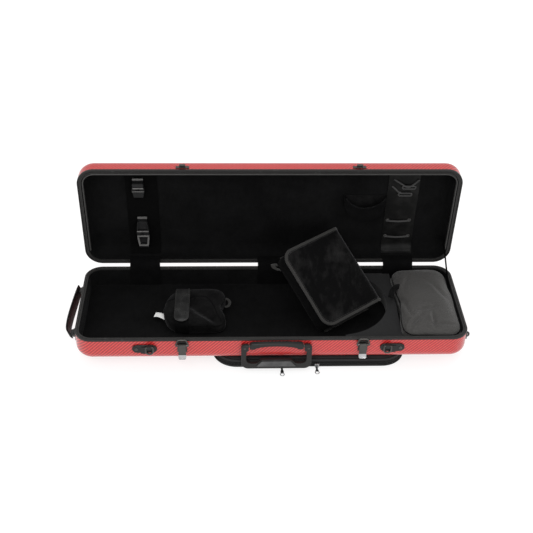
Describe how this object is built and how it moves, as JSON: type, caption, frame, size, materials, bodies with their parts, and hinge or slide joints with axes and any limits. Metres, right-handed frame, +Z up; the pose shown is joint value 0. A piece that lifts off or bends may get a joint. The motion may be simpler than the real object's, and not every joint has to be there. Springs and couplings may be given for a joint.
{
  "type": "violin case",
  "caption": "Oblong hard violin case, open, with woven red shells, dark rims, plush lining, draw latches, handle, neck rest, pouches and a flat zipped pocket beneath.",
  "frame": {"origin": "middle of the base shell's length and width, on the surface that the case stands on", "axes": "+X along the case to the right as seen from the handle side, +Y to the back where the lid is hinged, +Z up"},
  "size_m": [0.8214, 0.311, 0.3406],
  "materials": {
    "red_shell": "gloss over a carbon weave",
    "dark_rim": "satin",
    "black_plush": "short pile",
    "grey_felt": "felt",
    "grey_nylon": "plain weave nylon",
    "black_velvet": "deep pile velvet",
    "black_webbing": "woven tape",
    "leatherette": "fine grain",
    "hardware_plastic": "satin moulded",
    "grip_rubber": "matt",
    "gunmetal": "dark plated",
    "chrome": "polished",
    "pocket_canvas": "canvas"
  },
  "bodies": {
    "base": {"base_shell": "red_shell", "base_rim": "dark_rim", "base_lining": "black_plush", "bout_block": "grey_felt", "neck_cushion": "black_velvet", "music_pocket": "pocket_canvas", "pocket_zip": "black_webbing", "hinge_base_leaf_left": "gunmetal", "hinge_base_leaf_right": "gunmetal", "hinge_pin_left": "chrome", "hinge_pin_right": "chrome", "hinge_strap_left": "black_velvet", "hinge_strap_center": "black_velvet", "hinge_strap_right": "black_velvet", "lid_stay": "black_webbing", "handle_bracket": "hardware_plastic", "handle_pin_left": "gunmetal", "handle_pin_right": "gunmetal", "latch_plate_left": "gunmetal", "latch_plate_right": "gunmetal", "latch_pin_left": "chrome", "latch_pin_right": "chrome", "strap_plate_left": "hardware_plastic", "strap_plate_right": "hardware_plastic", "end_mount_front": "gunmetal", "end_mount_back": "gunmetal", "end_bracket": "gunmetal"},
    "lid": {"lid_shell": "red_shell", "lid_rim": "dark_rim", "lid_lining": "black_plush", "hinge_lid_leaf_left": "gunmetal", "hinge_lid_leaf_right": "gunmetal", "bow_band": "black_webbing", "bow_clip_base_front": "hardware_plastic", "bow_clip_base_back": "hardware_plastic", "tip_band": "leatherette", "lid_pocket": "black_velvet", "lid_catch_left": "chrome", "lid_catch_right": "chrome"},
    "bow_clip_1": {"bow_clip_1": "hardware_plastic"},
    "bow_clip_2": {"bow_clip_2": "hardware_plastic"},
    "bow_clip_3": {"bow_clip_3": "hardware_plastic"},
    "bow_clip_4": {"bow_clip_4": "hardware_plastic"},
    "pouch": {"pouch_body": "black_velvet"},
    "pouch_flap": {"pouch_flap": "black_velvet"},
    "nylon_bag": {"nylon_bag": "grey_nylon"},
    "neck_strap": {"neck_strap": "leatherette"},
    "handle": {"handle": "hardware_plastic", "handle_grip": "grip_rubber"},
    "latch_lever_left": {"latch_lever_left": "gunmetal"},
    "latch_lever_right": {"latch_lever_right": "gunmetal"},
    "latch_loop_left": {"latch_loop_left": "gunmetal"},
    "latch_loop_right": {"latch_loop_right": "gunmetal"},
    "d_ring_left": {"d_ring_left": "chrome"},
    "d_ring_right": {"d_ring_right": "chrome"},
    "end_handle": {"end_handle": "leatherette"},
    "zip_slider_left": {"zip_slider_left": "chrome"},
    "zip_slider_right": {"zip_slider_right": "chrome"},
    "zip_pull_left": {"zip_pull_left": "gunmetal"},
    "zip_pull_right": {"zip_pull_right": "gunmetal"}
  },
  "joints": [
    {"name": "lid_hinge", "type": "hinge", "parent": "base", "child": "lid", "pos_m": [0, 0.127, 0.081], "axis": [-1, 0, 0], "range_deg": [-86, 0], "deforming": ["hinge_strap_left", "hinge_strap_center", "hinge_strap_right", "lid_stay"]},
    {"name": "handle_swing", "type": "hinge", "parent": "base", "child": "handle", "pos_m": [0.0075, -0.128, 0.0672], "axis": [-1, 0, 0], "range_deg": [0, 100]},
    {"name": "latch_lever_left", "type": "hinge", "parent": "base", "child": "latch_lever_left", "pos_m": [-0.18, -0.128, 0.07], "axis": [-1, 0, 0], "range_deg": [0, 95]},
    {"name": "latch_loop_left", "type": "hinge", "parent": "base", "child": "latch_loop_left", "pos_m": [-0.18, -0.128, 0.07], "axis": [1, 0, 0], "range_deg": [0, 100]},
    {"name": "latch_lever_right", "type": "hinge", "parent": "base", "child": "latch_lever_right", "pos_m": [0.18, -0.128, 0.07], "axis": [-1, 0, 0], "range_deg": [0, 95]},
    {"name": "latch_loop_right", "type": "hinge", "parent": "base", "child": "latch_loop_right", "pos_m": [0.18, -0.128, 0.07], "axis": [1, 0, 0], "range_deg": [0, 100]},
    {"name": "ring_swing_left", "type": "hinge", "parent": "base", "child": "d_ring_left", "pos_m": [-0.2445, -0.1293, 0.066], "axis": [-1, 0, 0], "range_deg": [0, 100]},
    {"name": "ring_swing_right", "type": "hinge", "parent": "base", "child": "d_ring_right", "pos_m": [0.2295, -0.1293, 0.066], "axis": [-1, 0, 0], "range_deg": [0, 100]},
    {"name": "end_handle_swing", "type": "hinge", "parent": "base", "child": "end_handle", "pos_m": [-0.3998, -0.005, 0.06], "axis": [0, 1, 0], "range_deg": [0, 35]},
    {"name": "neck_strap_open", "type": "hinge", "parent": "base", "child": "neck_strap", "pos_m": [-0.185, 0.06, 0.069], "axis": [-1, 0, 0], "range_deg": [0, 110]},
    {"name": "nylon_bag_lift", "type": "slide", "parent": "base", "child": "nylon_bag", "axis": [0, 0, 1], "range_m": [0, 0.3]},
    {"name": "pouch_lay", "type": "hinge", "parent": "lid", "child": "pouch", "pos_m": [-0.03548, 0.04828, 0.10135], "axis": [-0.9408, -0.2749, -0.1983], "range_deg": [0, 124.29]},
    {"name": "bow_clip_1_flip", "type": "hinge", "parent": "lid", "child": "bow_clip_1", "pos_m": [-0.2745, 0.14219, 0.28235], "axis": [-1, 0, 0], "range_deg": [0, 75]},
    {"name": "bow_clip_2_flip", "type": "hinge", "parent": "lid", "child": "bow_clip_2", "pos_m": [-0.2745, 0.14465, 0.24714], "axis": [1, 0, 0], "range_deg": [0, 75]},
    {"name": "bow_clip_3_flip", "type": "hinge", "parent": "lid", "child": "bow_clip_3", "pos_m": [-0.271, 0.14919, 0.18229], "axis": [-1, 0, 0], "range_deg": [0, 75]},
    {"name": "bow_clip_4_flip", "type": "hinge", "parent": "lid", "child": "bow_clip_4", "pos_m": [-0.271, 0.154, 0.11346], "axis": [1, 0, 0], "range_deg": [0, 75]},
    {"name": "pouch_flap_open", "type": "hinge", "parent": "pouch", "child": "pouch_flap", "pos_m": [0.23269, -0.00124, 0.08611], "axis": [-0.4972, 0.6618, 0.5611], "range_deg": [0, 100]},
    {"name": "zip_slider_left", "type": "slide", "parent": "base", "child": "zip_slider_left", "axis": [1, 0, 0], "range_m": [-0.085, 0.03]},
    {"name": "zip_pull_left", "type": "hinge", "parent": "zip_slider_left", "child": "zip_pull_left", "pos_m": [0.02, -0.12, 0.0016], "axis": [0, 0, 1], "range_deg": [-60, 60]},
    {"name": "zip_slider_right", "type": "slide", "parent": "base", "child": "zip_slider_right", "axis": [1, 0, 0], "range_m": [-0.025, 0.12]},
    {"name": "zip_pull_right", "type": "hinge", "parent": "zip_slider_right", "child": "zip_pull_right", "pos_m": [0.091, -0.12, 0.0016], "axis": [0, 0, 1], "range_deg": [-60, 60]}
  ],
  "couplings": [
    {"joint": "pouch_lay", "follows": "lid_hinge", "ratio": -1.4452}
  ]
}
